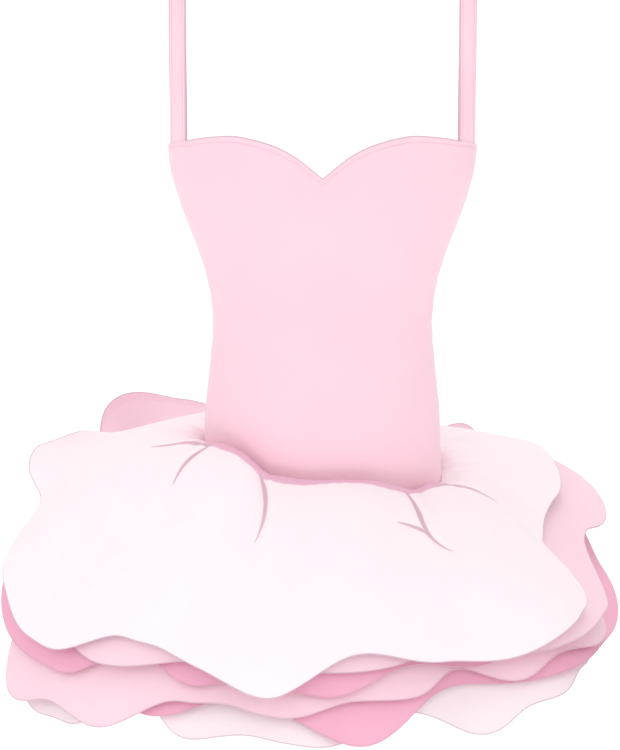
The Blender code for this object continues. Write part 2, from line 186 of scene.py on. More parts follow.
EDGE_MID_UPPER = (
    Ruffle(180, 0.250, 0.000),
    Ruffle(-148, 0.285, 0.000),
    Ruffle(-108, 0.285, 0.000),
    Ruffle(-75, 0.3475, 0.000),
    Ruffle(-58, 0.331, 0.000),
    Ruffle(-41, 0.284, 0.000),
    Ruffle(-29, 0.291, 0.000),
    Ruffle(-16, 0.276, 0.000),
    Ruffle(-2, 0.276, 0.000),
    Ruffle(20, 0.256, 0.000),
    Ruffle(62, 0.303, 0.000),
    Ruffle(91, 0.262, 0.000),
    Ruffle(122, 0.290, 0.000),
    Ruffle(150, 0.270, 0.000),
)
EDGE_LIGHT_LOWER = (
    Ruffle(-170, 0.250, 0.000),
    Ruffle(-140, 0.280, 0.000),
    Ruffle(-102, 0.285, 0.000),
    Ruffle(-78, 0.325, 0.000),
    Ruffle(-67, 0.361, 0.000),
    Ruffle(-56, 0.340, 0.000),
    Ruffle(-47, 0.338, 0.000),
    Ruffle(-30, 0.2945, 0.000),
    Ruffle(-18, 0.287, 0.000),
    Ruffle(-8, 0.286, 0.000),
    Ruffle(8, 0.266, 0.000),
    Ruffle(22, 0.270, 0.000),
    Ruffle(32, 0.257, 0.000),
    Ruffle(48, 0.305, 0.000),
    Ruffle(66, 0.3165, 0.000),
    Ruffle(72, 0.3125, 0.000),
    Ruffle(95, 0.270, 0.000),
    Ruffle(128, 0.290, 0.000),
    Ruffle(158, 0.265, 0.000),
)
EDGE_MID_LOWER = (
    Ruffle(180, 0.270, 0.000),
    Ruffle(-132, 0.285, 0.000),
    Ruffle(-90, 0.290, 0.000),
    Ruffle(-40, 0.307, 0.000),
    Ruffle(-16, 0.272, 0.000),
    Ruffle(8, 0.288, 0.000),
    Ruffle(31, 0.260, 0.000),
    Ruffle(57, 0.318, 0.000),
    Ruffle(76, 0.308, 0.000),
    Ruffle(90, 0.314, 0.000),
    Ruffle(103, 0.301, 0.000),
    Ruffle(124, 0.305, 0.000),
    Ruffle(152, 0.265, 0.000),
)
EDGE_WHITE_UNDER = (
    Ruffle(-165, 0.270, 0.000),
    Ruffle(-125, 0.265, 0.000),
    Ruffle(-64, 0.343, 0.000),
    Ruffle(-53, 0.3335, 0.000),
    Ruffle(-41, 0.287, 0.000),
    Ruffle(-29, 0.3035, 0.000),
    Ruffle(-13, 0.286, 0.000),
    Ruffle(-4, 0.287, 0.000),
    Ruffle(18, 0.262, 0.000),
    Ruffle(43, 0.301, 0.000),
    Ruffle(53, 0.323, 0.000),
    Ruffle(60, 0.312, 0.000),
    Ruffle(82, 0.285, 0.000),
    Ruffle(112, 0.280, 0.000),
    Ruffle(140, 0.260, 0.000),
)
FALL_MORE = 0.012  # share by which each layer falls more than the one above
RISE_AT = 0.017  # distance from the seam at which the rise is greatest
Rise = namedtuple("Rise", "azimuth height")
RISES = (  # how much higher than its common form the puff stands close to the seam
    Rise(-105, 0.0000),
    Rise(-78, -0.0120),
    Rise(-64, -0.0045),
    Rise(-49, 0.0072),
    Rise(-36, 0.0088),
    Rise(-24, 0.0048),
    Rise(-8, 0.0042),
    Rise(3, 0.0024),
    Rise(24, 0.0058),
    Rise(44, 0.0012),
    Rise(54, 0.0058),
    Rise(72, -0.0006),
    Rise(86, -0.0085),
    Rise(110, 0.0000),
)
LIFT_POWER = 8.0  # a lift belongs to the last part of the way to the edge

# ---------------------------------------------------------------- finer form than the solids'

# Creases of the top layer, each through four places evenly along it: a soft trough, and along it a stroke of
# painted shade in deeper pink whose strength is its tone. Even rows are one set and odd rows the other, and
# two creases that meet are in different sets.
Crease = namedtuple("Crease", "turn_1 away_1 turn_2 away_2 turn_3 away_3 turn_4 away_4 width depth tone")
CREASES = (
    Crease(-54.0, 0.0262, -64.0, 0.0292, -73.2, 0.0435, -79.5, 0.0600, 0.0082, 0.0012, 1.00),
    Crease(-55.0, 0.0280, -57.2, 0.0440, -56.8, 0.0585, -54.5, 0.0745, 0.0058, 0.004, 1.00),
    Crease(-29.5, 0.0240, -23.6, 0.0430, -21.2, 0.0650, -21.5, 0.0890, 0.0050, 0.006, 1.00),
    Crease(38.3, 0.0300, 37.8, 0.0520, 36.9, 0.0730, 41.4, 0.0952, 0.0062, 0.006, 1.00),
    Crease(36.8, 0.0765, 34.9, 0.0705, 31.2, 0.0662, 26.8, 0.0640, 0.0044, 0.002, 1.00),
    Crease(55.0, 0.0250, 67.5, 0.0275, 73.2, 0.0405, 74.5, 0.0665, 0.0100, 0.0010, 1.00),
    Crease(92.0, 0.0120, 97.2, 0.0270, 99.2, 0.0440, 98.0, 0.0640, 0.0030, 0.003, 0.00),
    Crease(114.0, 0.0100, 118.8, 0.0310, 120.9, 0.0540, 121.0, 0.0780, 0.0030, 0.004, 0.00),
    Crease(135.0, 0.0100, 131.8, 0.0230, 131.2, 0.0390, 133.0, 0.0560, 0.0028, 0.003, 0.00),
    Crease(152.0, 0.0100, 152.9, 0.0330, 155.5, 0.0590, 160.0, 0.0880, 0.0040, 0.007, 0.90),
    Crease(173.0, 0.0100, 176.3, 0.0240, 177.3, 0.0410, 176.0, 0.0600, 0.0034, 0.004, 0.90),
    Crease(-174.0, 0.0100, -169.6, 0.0310, -167.3, 0.0530, -167.0, 0.0760, 0.0036, 0.006, 0.90),
    Crease(-150.0, 0.0120, -144.2, 0.0330, -142.6, 0.0590, -145.0, 0.0880, 0.0040, 0.007, 0.90),
    Crease(-119.0, 0.0120, -123.1, 0.0270, -124.1, 0.0440, -122.0, 0.0640, 0.0036, 0.004, 0.25),
    Crease(-97.0, 0.0240, -100.4, 0.0380, -101.1, 0.0530, -99.0, 0.0680, 0.0034, 0.003, 0.20),
)
CREASE_SETS = 2
CREASE_STEPS = 20
CREASE_FAR = 0.008  # places further than this from a crease aren't counted as beside it
STROKE_START, STROKE_FULL_AT, STROKE_TAPER = 0.65, 0.35, 0.7  # a stroke's first width, widest place and point
TROUGH_HALF_WIDTH = 0.0075  # of the soft trough that a crease lies in
TROUGH_START, TROUGH_SPAN, TROUGH_SKEW = 0.06, 0.9, 0.7  # how the trough deepens along the crease
CREASE_BLUR, COLLAR_BLUR = 0.0005, 0.0009  # half the width in which a drawn edge fades

# A ring of painted shade where the top layer is gathered against the bodice, partly the deeper pink of
# bunched net, direction by direction
Collar = namedtuple("Collar", "azimuth reach depth")
COLLARS = (
    Collar(-150, 0.0090, 0.12),
    Collar(-110, 0.0110, 0.10),
    Collar(-68, 0.0230, 0.02),
    Collar(-62, 0.0265, 0.45),
    Collar(-57, 0.0285, 1.00),
    Collar(-50, 0.0280, 1.00),
    Collar(-38, 0.0252, 1.00),
    Collar(-31, 0.0250, 1.00),
    Collar(-19, 0.0308, 1.00),
    Collar(-11, 0.0302, 1.00),
    Collar(3, 0.0272, 1.00),
    Collar(17, 0.0265, 1.00),
    Collar(34, 0.0330, 1.00),
    Collar(41, 0.0300, 1.00),
    Collar(50, 0.0262, 1.00),
    Collar(57, 0.0280, 1.00),
    Collar(62, 0.0265, 0.45),
    Collar(68, 0.0230, 0.02),
    Collar(120, 0.0090, 0.12),
    Collar(165, 0.0080, 0.12),
)
COLLAR_FROM, COLLAR_TO = 0.42, 0.64  # shares of the ring's reach between which its tone sets in

# A wave comes so many times round the body, and shifts so many radians in each metre outward from the seam
Wave = namedtuple("Wave", "strength round outward shift")
GATHERS = 66  # round the body
GATHER_DEPTH = 0.0004
GATHER_RISE, GATHER_LENGTH = 0.006, 0.034  # distances from the seam
GATHER_PLACES = (Wave(2.1, 3, 0, 0.6), Wave(1.6, 7, 0, 2.2))
GATHER_LENGTHS = (Wave(0.35, 11, 0, 1.0), Wave(0.25, 17, 0, 0.0))
SOFT_WAVE = 0.0006  # height of the broad, soft unevenness of the net
SOFT_WAVES = (Wave(1.0, 9, 22, 0.4), Wave(0.7, 14, -31, 2.0))
SOFT_FROM, SOFT_TO = 0.03, 0.12  # distances from the seam between which it sets in

RING_COLUMNS_TOP, RING_COLUMNS = 720, 480
RING_ROWS_TOP, RING_ROWS = 92, 38
RING_ROW_POWER = 1.35  # rows are closer together near the seam
EDGE_SOFTENING = 2.5  # degrees over which a layer's outline is rounded off
HEM_BESIDE = 0.0012  # from an edge to the first row of cloth inside it
UNDERSIDE_STEP = 3  # the underside has one row for this many above
HEM_RADIUS_NET, HEM_RADIUS_SATIN = 0.00075, 0.00100
HEM_ROWS = 8
HEM_TURN = math.radians(118)

Layer = namedtuple("Layer", "piece node slot edge")
LAYERS = (
    Layer("ruffle_1_white", "net_1_white", "white_net", EDGE_WHITE_TOP),
    Layer("ruffle_2_light", "net_2_light", "light_pink_net", EDGE_LIGHT_UPPER),
    Layer("ruffle_3_mid", "net_3_mid", "mid_pink_net", EDGE_MID_UPPER),
    Layer("ruffle_4_light", "net_4_light", "light_pink_net", EDGE_LIGHT_LOWER),
    Layer("ruffle_5_mid", "net_5_mid", "mid_pink_net", EDGE_MID_LOWER),
    Layer("ruffle_6_white", "net_6_white", "white_net", EDGE_WHITE_UNDER),
)

PANEL_COLUMNS, PANEL_ROWS = 150, 110
SINK_DEPTH, SINK_WIDTH = 0.0007, 1.6  # the cloth turns in at a side seam, over this many degrees
WRINKLE_DEPTH = 0.00025
WRINKLE_HEIGHT, WRINKLE_REACH = -0.005, 0.075  # middle of the pulls across the waist, and how far they go
WRINKLE_PITCH = 230  # radians for each metre of height
WRINKLE_WAVES = (Wave(1.4, 2, 0, 0.5), Wave(0.8, 5, 0, 0.0))
BAND_COLUMNS, BAND_ROWS = 240, 40

STRAP_COLUMNS, STRAP_ROWS = 9, 180
STRAP_BUNCHING = 0.0175  # rows of a strap are closer together where it bends
STRAP_CROWN, STRAP_SUNK = 0.0002, 0.0001  # its middle stands up from its edges, which lie in
STRAP_LAP = 0.0012  # from the bodice's top edge down to a strap's foot
STRAP_BESIDE, STRAP_BESIDE_TURN = 0.001, 0.6  # metres and degrees beside a strap without the bound edge

STITCH_LENGTH, STITCH_GAP, STITCH_RADIUS = 0.0024, 0.0010, 0.00022
STITCH_INSET_BODICE, STITCH_INSET_STRAP = 0.0055, 0.0022
STITCH_FROM_SEAM = 0.8  # degrees left free at each side seam
STITCH_BESIDE = 0.0005
STITCH_STEPS_BODICE, STITCH_STEPS_STRAP = 500, 400
STITCH_RINGS = (0.0, 0.15, 0.5, 0.85, 1.0)  # shares of a stitch's length
STITCH_SIDES = 6
STITCH_END, STITCH_RISE, STITCH_SUNK = 0.35, 1.2, 0.2  # shares of its radius

# ---------------------------------------------------------------- curves and surfaces

TOP_EDGE_GUESS, TOP_EDGE_TRIES = 0.225, 12
HALVINGS = 40  # of the range in which an azimuth is looked for


def column(rows, field):
    return np.array([getattr(row, field) for row in rows], float)


def curve_value(rows, key, field, position):
    """A smooth curve through a table's rows, at positions along its key column."""
    keys, values = column(rows, key), column(rows, field)
    last = len(rows) - 1
    position = np.clip(position, keys[0], keys[-1])
    index = np.clip(np.searchsorted(keys, position) - 1, 0, last - 1)
    before = np.maximum(np.arange(last + 1) - 1, 0)
    after = np.minimum(np.arange(last + 1) + 1, last)
    slopes = (values[after] - values[before]) / (keys[after] - keys[before])
    span = keys[index + 1] - keys[index]
    t = (position - keys[index]) / span
    weight = 2 * t ** 3 - 3 * t ** 2 + 1
    value = weight * values[index] + (1 - weight) * values[index + 1]
    bend = (t ** 3 - 2 * t ** 2 + t) * slopes[index] + (t ** 3 - t ** 2) * slopes[index + 1]
    return value + span * bend


def round_value(rows, field, azimuth):
    """A value eased from row to row all round the body, level at each row."""
    ordered = sorted(rows, key=lambda row: row.azimuth % 360)
    turns, values = column(ordered, "azimuth") % 360, column(ordered, field)
    turn = azimuth % 360
    after = np.searchsorted(turns, turn, side="right") % len(ordered)
    before = after - 1
    gap = (turns[after] - turns[before]) % 360
    ease = (1 - np.cos(math.pi * ((turn - turns[before]) % 360) / gap)) / 2
    return values[before] + (values[after] - values[before]) * ease


def edge_value(rows, field, azimuth):
    """A layer's outline, with the corners between its rows rounded off as cloth does."""
    beside = sum(round_value(rows, field, azimuth + step) for step in (-EDGE_SOFTENING, EDGE_SOFTENING))
    return (beside + 2 * round_value(rows, field, azimuth)) / 4


def smooth(low, high, value):
    t = np.clip((value - low) / (high - low), 0, 1)
    return t * t * (3 - 2 * t)


def waves(rows, turn, distance=0.0):
    """The sum of some waves, at places given in radians round the body and metres from the seam."""
    return sum(wave.strength * np.sin(wave.round * turn + wave.outward * distance + wave.shift)
               for wave in rows)


def signed_turn(azimuth):
    """The same azimuth between -180 and 180."""
    return (azimuth + 180) % 360 - 180


def torso_radius(azimuth, height):
    """Distance from the body's axis to the cloth's outer side."""
    across = np.abs(np.sin(np.radians(azimuth)))
    along = np.cos(np.radians(azimuth))
    half_width = curve_value(TORSO, "height", "half_width", height)
    front = curve_value(TORSO, "height", "front", height)
    back = curve_value(TORSO, "height", "back", height)
    depth = np.where(along > 0, front, back)
    power = curve_value(TORSO, "height", "squareness", height)
    return ((across / half_width) ** power + (np.abs(along) / depth) ** power) ** (-1 / power)


def polar(azimuth, radius, height):
    angle = np.radians(azimuth)
    return np.stack(np.broadcast_arrays(radius * np.sin(angle), -radius * np.cos(angle), height), -1)


def torso_point(azimuth, height):
    return polar(azimuth, torso_radius(azimuth, height), height)


def top_edge(azimuth):
    """Height of the bodice's top edge. In front it is drawn by the distance from the middle, which depends on
    the height, so it is found in a few steps."""
    turn = np.abs(signed_turn(np.asarray(azimuth, float)))
    height = np.full(turn.shape, TOP_EDGE_GUESS)
    past = turn > 90
    for _ in range(TOP_EDGE_TRIES):
        across = np.abs(torso_point(turn, height)[..., 0])
        past = past | (across > NECKLINE[-1].across)
        neck = curve_value(NECKLINE, "across", "height", across)
        height = np.where(past, curve_value(ARMHOLE_AND_BACK, "azimuth", "height", turn), neck)
    return height


def base_azimuth(across, behind):
    """Azimuth at which the top edge lies this far from the middle, in the front or the back."""
    low, high = (180.0, 90.0) if behind else (0.0, 90.0)
    for _ in range(HALVINGS):
        middle = (low + high) / 2
        if torso_point(middle, top_edge(middle))[0] < across:
            low = middle
        else:
            high = middle
    return (low + high) / 2


def seam_height(azimuth, layer):
    return round_value(TOP_SEAM, "height", azimuth) - SEAM_PITCH * layer


def bodice_bottom(azimuth):
    return seam_height(azimuth, 0) + BODICE_ABOVE


def layer_surface(layer, azimuth, share):
    """Places on a layer's upper side, rows from its seam to its edge, with how far each is from the seam."""
    style = LAYERS[layer]
    seam = seam_height(azimuth, layer)
    inner = torso_radius(azimuth, seam) + SEAM_GAP
    width = edge_value(style.edge, "reach", azimuth) - inner
    distance = share * width
    puff = round_value(LIE, "puff", azimuth) * (np.exp(-distance / PUFF_FAR) - np.exp(-distance / PUFF_NEAR))
    rise = round_value(RISES, "height", azimuth) * distance / RISE_AT * np.exp(1 - distance / RISE_AT)
    puff = (puff + rise) * PUFF_SHARE ** layer
    fall = round_value(LIE, "fall", azimuth) * (1 + FALL_MORE * layer) * (distance / FALL_AT) ** FALL_POWER
    lift = edge_value(style.edge, "lift", azimuth) * share ** LIFT_POWER
    height = seam + puff - fall + lift + fine_form(azimuth, distance)
    return azimuth, inner + distance, height, distance


def fine_form(azimuth, distance):
    """Small gathers near the seam, and a broad soft unevenness, the same for every layer of the stack."""
    turn = np.radians(azimuth)
    length = GATHER_LENGTH * (1 + waves(GATHER_LENGTHS, turn))
    gathers = np.sin(turn * GATHERS + waves(GATHER_PLACES, turn)) * np.exp(-(distance / length) ** 2)
    gathers = GATHER_DEPTH * gathers * smooth(0.0, GATHER_RISE, distance)
    return gathers + SOFT_WAVE * waves(SOFT_WAVES, turn, distance) * smooth(SOFT_FROM, SOFT_TO, distance)


def beside_crease(crease, azimuth, radius, distance):
    """How far places are from a crease's line, how far to one side of it, and how far along it as a share."""
    steps = np.linspace(0, 1, CREASE_STEPS)
    turns, aways = (np.polyval(np.polyfit((0, 1 / 3, 2 / 3, 1), crease[first:8:2], 3), steps)
                    for first in (0, 1))
    nearest, side, along = np.full(distance.shape, 1.0), np.zeros(distance.shape), np.zeros(distance.shape)
    for i in range(CREASE_STEPS - 1):
        ax = np.radians(signed_turn(turns[i] - azimuth)) * radius
        ay = aways[i] - distance
        dx, dy = np.radians(turns[i + 1] - turns[i]) * radius, aways[i + 1] - aways[i]
        length = np.hypot(dx, dy)
        share = np.clip(-(ax * dx + ay * dy) / length ** 2, 0, 1)
        off = np.hypot(ax + share * dx, ay + share * dy)
        closer = off < nearest
        nearest = np.where(closer, off, nearest)
        side = np.where(closer, (ax * dy - ay * dx) / length, side)
        along = np.where(closer, (i + share) / (CREASE_STEPS - 1), along)
    return nearest, side, along


def crease_fields(azimuth, radius, distance):
    """Over the top layer: how deep the soft troughs of its creases are, and three fields for each set of
    creases. They say how far to one side of the nearest line a place is, how far that line's stroke of
    painted shade reaches there, and how strong that painted shade is."""
    shape = distance.shape
    trough = np.zeros(shape)
    blank = {"side": np.full(shape, CREASE_FAR), "half": np.full(shape, -CREASE_FAR), "tone": np.zeros(shape)}
    drawn = [dict(blank) for _ in range(CREASE_SETS)]
    for number, crease in enumerate(CREASES):
        nearest, side, along = beside_crease(crease, azimuth, radius, distance)
        swell = STROKE_START + (1 - STROKE_START) * smooth(0.0, STROKE_FULL_AT, along)
        swell *= np.maximum(1 - along ** 2, 0) ** STROKE_TAPER
        beyond = np.sqrt(np.maximum(nearest ** 2 - side ** 2, 0))
        half = crease.width / 2 * swell - beyond
        fields = drawn[number % CREASE_SETS]
        nearer = (nearest < CREASE_FAR) & (half - np.abs(side) > fields["half"] - np.abs(fields["side"]))
        for key, value in (("side", side), ("half", half), ("tone", crease.tone)):
            fields[key] = np.where(nearer, value, fields[key])
        fade = np.sin(math.pi * np.clip(along * TROUGH_SPAN + TROUGH_START, 0, 1) ** TROUGH_SKEW)
        across = np.cos(math.pi / 2 * np.minimum(nearest / TROUGH_HALF_WIDTH, 1)) ** 2
        trough = np.maximum(trough, crease.depth * fade * across)
    return trough, drawn


def collar_shade_fields(azimuth, distance):
    """How far inside the ring of painted shade a place is, and how deep the painted shade is there: nothing
    at the seam.
    """
    reach, depth = (round_value(COLLARS, field, azimuth) for field in ("reach", "depth"))
    return reach - distance, depth * smooth(COLLAR_FROM, COLLAR_TO, distance / reach)


# ---------------------------------------------------------------- meshes


def unit(vectors):
    return vectors / np.linalg.norm(vectors, axis=-1, keepdims=True)


def sheet_normals(grid, closed):
    """Which way the cloth faces over a grid of places. A closed one goes all round the body."""
    across = np.roll(grid, -1, 1) - np.roll(grid, 1, 1) if closed else np.gradient(grid, axis=1)
    return unit(np.cross(np.gradient(grid, axis=0), across))


def hem_loops(outer, inner, radius):
    """A round rolled edge beyond the first row of a wall, as loops from its middle to its upper side and
    from its lower side back to its middle. The radius may differ from column to column."""
    centre = (outer[0] + inner[0]) / 2
    away, normal = unit(outer[0] - outer[1]), unit(outer[0] - inner[0])
    half = HEM_ROWS // 2
    radius = np.broadcast_to(radius, centre.shape[:1])[:, None]
    angles = [HEM_TURN * (i + 0.5) / (half - 0.5) for i in range(half)]
    upper = [centre + radius * (math.cos(angle) * away + math.sin(angle) * normal) for angle in angles]
    lower = [centre + radius * (math.cos(angle) * away - math.sin(angle) * normal) for angle in angles]
    return upper, lower[::-1]


def loops_mesh(name, loops, closed, flip, hems, finishes, fields=None, plain=None):
    """A closed body whose skin runs through the loops in turn and from the last back to the first. Each loop
    goes round the body, or from one end of the piece to the other. A closed one has no ends. The finishes
    are those of the cloth and of its hem, which lies between neighbouring loops that hems marks. A hem is
    left out at columns that plain marks."""
    points = np.array(loops)
    count, columns = points.shape[:2]
    steps = columns if closed else columns - 1
    i, j = np.meshgrid(np.arange(count), np.arange(steps), indexing="ij")
    below, beside = (i + 1) % count, (j + 1) % columns
    corners = [i * columns + j, below * columns + j, below * columns + beside, i * columns + beside]
    faces = np.stack(corners, -1).reshape(-1, 4)
    hem = np.array(hems)[i] & np.array(hems)[below]
    if plain is not None:
        hem &= ~plain[j]
    hem = hem.reshape(-1)
    along = np.linalg.norm(np.diff(points, axis=0, append=points[:1]), axis=-1).mean(1)
    v = np.concatenate([[0], np.cumsum(along)])
    widest = max(np.linalg.norm(np.diff(loop, axis=0), axis=-1).mean() for loop in points)
    u = np.stack([j, j, j + 1, j + 1], -1) * widest
    v = np.stack([v[i], v[i + 1], v[i + 1], v[i]], -1)
    uv = np.stack([u, v], -1).reshape(-1, 4, 2)
    if flip:
        faces, uv = faces[:, ::-1], uv[:, ::-1]
    faces, uv = faces.tolist(), uv.reshape(-1, 2)
    if not closed:
        for end, side in ((0, 1), (columns - 1, -1)):
            for k in range(count // 2 - 1):
                rows = (k, k + 1, count - 2 - k, count - 1 - k)
                cap = [row * columns + end for row in rows][:: -side if flip else side]
                faces.append(cap[::-1])
        uv = np.concatenate([uv, np.zeros(((len(faces) * 4) - len(uv), 2))])
    mesh = bpy.data.meshes.new(name)
    mesh.from_pydata(points.reshape(-1, 3).tolist(), [], faces)
    mesh.uv_layers.new(name="cloth").data.foreach_set("uv", uv.astype(np.float32).ravel())
    hem = np.concatenate([hem, np.zeros(len(faces) - len(hem), bool)])
    mesh.polygons.foreach_set("material_index", hem.astype(np.int32))
    for key, values in (fields or {}).items():
        field = mesh.attributes.new(key, "FLOAT", "POINT")
        field.data.foreach_set("value", values.astype(np.float32).ravel())
    mesh.shade_smooth()
    return placed(mesh, *finishes)


def placed(mesh, *finishes):
    """A new object with this mesh and these materials."""
    for finish in finishes:
        mesh.materials.append(finish)
    body = bpy.data.objects.new(mesh.name, mesh)
    bpy.context.scene.collection.objects.link(body)
    return body


def hem_marks(*parts):
    """Marks for loops_mesh, from counts of loops that belong in turn to a hem, to cloth, to a hem, ..."""
    return [place % 2 == 0 for place, count in enumerate(parts) for _ in range(count)]


def wear(piece, slot, *nodes):
    """The piece rides on the part's one body and stands for these nodes."""
    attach(piece, "root")
    if nodes:
        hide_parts(*nodes)
    return piece


# ---------------------------------------------------------------- finishes


def linear(red, green, blue):
    """A colour given as 0 to 255 on screen, as Blender's linear values."""
    shares = [value / 255 for value in (red, green, blue)]
    return tuple(s / 12.92 if s <= 0.04045 else ((s + 0.055) / 1.055) ** 2.4 for s in shares) + (1.0,)


SATIN_PINK = linear(251, 211, 224)
SATIN_SHADE = linear(249, 205, 219)
NET_WHITE = linear(255, 244, 248)
NET_WHITE_SHADE = linear(254, 238, 243)
NET_LIGHT = linear(255, 221, 233)
NET_LIGHT_SHADE = linear(253, 214, 228)
NET_MID = linear(250, 188, 212)
NET_MID_SHADE = linear(247, 179, 206)
# painted shade in deeper pink along the creases of the top layer
CREASE_SHADE_PINK = linear(224, 187, 200)
# painted shade in the ring where the top layer meets the bodice, partly the deeper tone of bunched net
JOIN_SHADE_PINK = linear(239, 190, 211)
THREAD_PALE = linear(226, 202, 210)
THREAD_PINK = linear(229, 192, 206)
THREAD_MID = linear(236, 172, 196)
THREAD_STITCH = linear(247, 204, 220)

SATIN_THREAD, NET_THREAD, EDGE_TWIST = 0.00045, 0.0011, 0.0007  # from one thread to the next
SATIN_BUMP, NET_BUMP, EDGE_BUMP = 0.00004, 0.00008, 0.00010
SATIN_CLOUD, NET_CLOUD, FLOOR_CLOUD = 0.060, 0.045, 1.5
MILLI = 1000  # lengths that a mesh carries for its material are in millimetres
WAVE_SCALE = 0.314  # makes a wave texture's bands as far apart as the size that divides it


class Shader:
    """A material's nodes, with a short way to add and join them."""

    def __init__(self, name, roughness, sheen=0.0, specular=0.5):
        self.material = bpy.data.materials.new(name)
        self.material.use_nodes = True
        self.tree = self.material.node_tree
        self.surface = self.tree.nodes["Principled BSDF"]
        self.surface.inputs["Roughness"].default_value = roughness
        self.surface.inputs["Sheen Weight"].default_value = sheen
        self.surface.inputs["Sheen Roughness"].default_value = 0.5
        self.surface.inputs["Specular IOR Level"].default_value = specular

    def feed(self, socket, value):
        """Joins another node's output to a socket, or sets the socket to a plain value."""
        if isinstance(value, bpy.types.NodeSocket):
            self.tree.links.new(value, socket)
        else:
            socket.default_value = value

    def add(self, kind, settings=None, **inputs):
        node = self.tree.nodes.new(kind)
        for key, value in (settings or {}).items():
            setattr(node, key, value)
        for key, value in inputs.items():
            self.feed(node.inputs[key.replace("_", " ")], value)
        return node

    def mix(self, share, first, second):
        node = self.add("ShaderNodeMix", {"data_type": "RGBA"})
        for index, value in ((0, share), (6, first), (7, second)):  # its factor and its two colours
            self.feed(node.inputs[index], value)
        return node.outputs[2]

    def maths(self, operation, first, second):
        node = self.add("ShaderNodeMath", {"operation": operation})
        for socket, value in zip(node.inputs, (first, second)):
            self.feed(socket, value)
        return node.outputs[0]

    def field(self, name):
        """A named value that the mesh carries, in millimetres where it is a length."""
        return self.add("ShaderNodeAttribute", {"attribute_name": name}).outputs["Fac"]

    def edge(self, inside, blur):
        """From nothing to all where a length goes from outside to inside, faded over twice the blur."""
        ramp = self.add("ShaderNodeMapRange", {"interpolation_type": "SMOOTHSTEP"}, Value=inside,
                        From_Min=-blur * MILLI, From_Max=blur * MILLI)
        return ramp.outputs["Result"]

    def cloud(self, size):
        """Soft unevenness, in object space, with spots about this far apart."""
        place = self.add("ShaderNodeTexCoord").outputs["Object"]
        return self.add("ShaderNodeTexNoise", Vector=place, Scale=1 / size, Detail=3.0).outputs["Fac"]

    def weave(self, pitch, across=1.0):
        """Threads running both ways along the cloth."""
        place = self.add("ShaderNodeUVMap", {"uv_map": "cloth"}).outputs["UV"]
        ways = []
        for direction, size in (("X", pitch * across), ("Y", pitch)):
            settings = {"bands_direction": direction, "wave_profile": "SIN"}
            wave = self.add("ShaderNodeTexWave", settings, Vector=place, Scale=WAVE_SCALE / size,
                            Distortion=0.6, Detail_Scale=3.0)
            ways.append(wave.outputs["Fac"])
        return self.maths("MAXIMUM", *ways)

    def bump(self, height, distance):
        node = self.add("ShaderNodeBump", Height=height, Distance=distance, Strength=1.0)
        self.feed(self.surface.inputs["Normal"], node.outputs["Normal"])

    def roughen(self, value, low, high):
        ramp = self.add("ShaderNodeMapRange", Value=value, To_Min=low, To_Max=high)
        self.feed(self.surface.inputs["Roughness"], ramp.outputs["Result"])

    def colour(self, value):
        self.feed(self.surface.inputs["Base Color"], value)


def satin():
    shader = Shader("satin_pale_pink", 0.42, sheen=0.10, specular=0.35)
    threads = shader.weave(SATIN_THREAD, across=1.6)
    cloud = shader.cloud(SATIN_CLOUD)
    tone = shader.mix(cloud, SATIN_PINK, SATIN_SHADE)
    shader.colour(shader.mix(shader.maths("MULTIPLY", threads, 0.12), tone, SATIN_SHADE))
    shader.roughen(cloud, 0.38, 0.50)
    shader.bump(threads, SATIN_BUMP)
    return shader.material


def net(name, light, shade, creased=False):
    """Soft net: fine threads, and for the top layer painted shade in deeper pink along its creases and in the
    ring where it is gathered against the bodice, there partly the deeper tone of bunched net.
    """
    shader = Shader(name, 0.78, sheen=0.18, specular=0.20)
    threads = shader.weave(NET_THREAD)
    cloud = shader.cloud(NET_CLOUD)
    tone = shader.mix(cloud, light, shade)
    tone = shader.mix(shader.maths("MULTIPLY", threads, 0.18), tone, shade)
    if creased:
        # painted shade of the ring along the join with the bodice
        edge = shader.edge(shader.field("collar_inside"), COLLAR_BLUR)
        tone = shader.mix(shader.maths("MULTIPLY", edge, shader.field("collar_tone")), tone, JOIN_SHADE_PINK)
        # painted shade along the creases
        for number in range(CREASE_SETS):
            side = shader.maths("ABSOLUTE", shader.field(f"crease_{number}_side"), 0.0)
            inside = shader.maths("SUBTRACT", shader.field(f"crease_{number}_half"), side)
            edge = shader.edge(inside, CREASE_BLUR)
            share = shader.maths("MULTIPLY", edge, shader.field(f"crease_{number}_tone"))
            tone = shader.mix(share, tone, CREASE_SHADE_PINK)
    shader.colour(tone)
    shader.roughen(threads, 0.70, 0.86)
    shader.bump(threads, NET_BUMP)
    return shader.material


def thread(name, colour):
    """The overlocked or rolled edge of a piece: twisted thread."""
    shader = Shader(name, 0.60, sheen=0.10, specular=0.30)
    place = shader.add("ShaderNodeUVMap", {"uv_map": "cloth"}).outputs["UV"]
    twist = shader.add("ShaderNodeTexWave", {"bands_direction": "DIAGONAL"}, Vector=place,
                       Scale=WAVE_SCALE / EDGE_TWIST, Distortion=0.3).outputs["Fac"]
    dark = tuple(value * 0.86 for value in colour[:3]) + (1.0,)
    shader.colour(shader.mix(twist, dark, colour))
    shader.bump(twist, EDGE_BUMP)
    return shader.material


# ---------------------------------------------------------------- pieces


